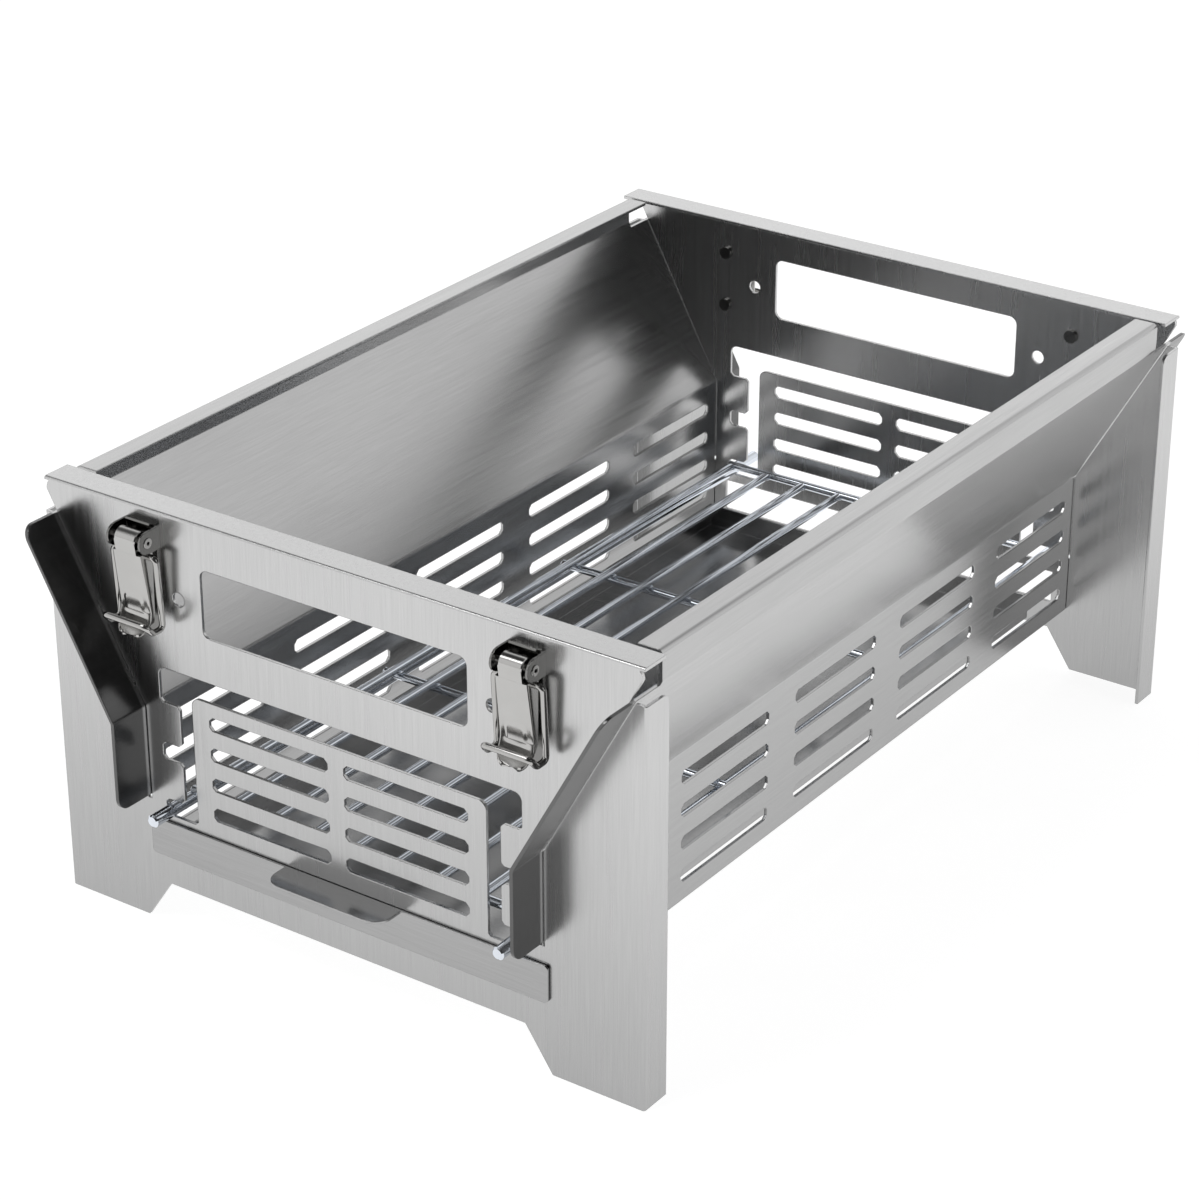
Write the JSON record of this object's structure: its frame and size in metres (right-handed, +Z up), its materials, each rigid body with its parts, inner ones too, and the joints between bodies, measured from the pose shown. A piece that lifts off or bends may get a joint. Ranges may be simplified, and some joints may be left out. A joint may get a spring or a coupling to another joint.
{
  "type": "folding barbecue grill",
  "caption": "Plug-together sheet-steel charcoal grill with slotted walls on legged end plates, wire grate, ash tray and toggle latches",
  "frame": {"origin": "on the floor below the middle of the case", "axes": "+X to the right across the case, +Y along the case away from the tray's pull lip, +Z up"},
  "size_m": [0.304, 0.474, 0.196],
  "materials": {
    "sheet_steel": "brushed stainless sheet",
    "rod_steel": "bright plated round rod",
    "latch_steel": "polished nickel plate"
  },
  "bodies": {
    "side_walls": {"right_side_wall": "sheet_steel", "left_side_wall": "sheet_steel"},
    "front_end": {"front_end_plate": "sheet_steel", "front_latch_rivets": "latch_steel", "front_left_latch_base": "latch_steel", "front_left_latch_pin": "latch_steel", "front_right_latch_base": "latch_steel", "front_right_latch_pin": "latch_steel"},
    "rear_end": {"rear_end_plate": "sheet_steel", "rear_latch_rivets": "latch_steel", "rear_left_latch_base": "latch_steel", "rear_left_latch_pin": "latch_steel", "rear_right_latch_base": "latch_steel", "rear_right_latch_pin": "latch_steel"},
    "tray": {"ash_tray": "sheet_steel"},
    "grate": {"charcoal_grate": "rod_steel"},
    "left_bar": {"left_support_bar": "rod_steel"},
    "right_bar": {"right_support_bar": "rod_steel"},
    "front_left_lever": {"front_left_latch_lever": "latch_steel"},
    "front_left_bail": {"front_left_latch_bail": "latch_steel"},
    "front_right_lever": {"front_right_latch_lever": "latch_steel"},
    "front_right_bail": {"front_right_latch_bail": "latch_steel"},
    "rear_left_lever": {"rear_left_latch_lever": "latch_steel"},
    "rear_left_bail": {"rear_left_latch_bail": "latch_steel"},
    "rear_right_lever": {"rear_right_latch_lever": "latch_steel"},
    "rear_right_bail": {"rear_right_latch_bail": "latch_steel"}
  },
  "joints": [
    {"name": "front_end_pull", "type": "slide", "parent": "side_walls", "child": "front_end", "axis": [0, -1, 0], "range_m": [0, 0.024]},
    {"name": "rear_end_pull", "type": "slide", "parent": "side_walls", "child": "rear_end", "axis": [0, 1, 0], "range_m": [0, 0.024]},
    {"name": "ash_tray_pull", "type": "slide", "parent": "front_end", "child": "tray", "axis": [0, -1, 0], "range_m": [0, 0.38]},
    {"name": "grate_lift", "type": "slide", "parent": "side_walls", "child": "grate", "axis": [0, 0, 1], "range_m": [0, 0.12]},
    {"name": "left_bar_pull", "type": "slide", "parent": "front_end", "child": "left_bar", "axis": [0, -1, 0], "range_m": [0, 0.47]},
    {"name": "right_bar_pull", "type": "slide", "parent": "front_end", "child": "right_bar", "axis": [0, -1, 0], "range_m": [0, 0.47]},
    {"name": "front_left_lever_turn", "type": "hinge", "parent": "front_end", "child": "front_left_lever", "pos_m": [-0.097, -0.2245, 0.185], "axis": [-1, 0, 0], "range_deg": [0, 80]},
    {"name": "front_left_bail_swing", "type": "hinge", "parent": "front_left_lever", "child": "front_left_bail", "pos_m": [-0.097, -0.223, 0.178], "axis": [-1, 0, 0], "range_deg": [0, 95]},
    {"name": "front_right_lever_turn", "type": "hinge", "parent": "front_end", "child": "front_right_lever", "pos_m": [0.097, -0.2245, 0.185], "axis": [-1, 0, 0], "range_deg": [0, 80]},
    {"name": "front_right_bail_swing", "type": "hinge", "parent": "front_right_lever", "child": "front_right_bail", "pos_m": [0.097, -0.223, 0.178], "axis": [-1, 0, 0], "range_deg": [0, 95]},
    {"name": "rear_left_lever_turn", "type": "hinge", "parent": "rear_end", "child": "rear_left_lever", "pos_m": [-0.097, 0.2245, 0.185], "axis": [1, 0, 0], "range_deg": [0, 80]},
    {"name": "rear_left_bail_swing", "type": "hinge", "parent": "rear_left_lever", "child": "rear_left_bail", "pos_m": [-0.097, 0.223, 0.178], "axis": [1, 0, 0], "range_deg": [0, 95]},
    {"name": "rear_right_lever_turn", "type": "hinge", "parent": "rear_end", "child": "rear_right_lever", "pos_m": [0.097, 0.2245, 0.185], "axis": [1, 0, 0], "range_deg": [0, 80]},
    {"name": "rear_right_bail_swing", "type": "hinge", "parent": "rear_right_lever", "child": "rear_right_bail", "pos_m": [0.097, 0.223, 0.178], "axis": [1, 0, 0], "range_deg": [0, 95]}
  ]
}
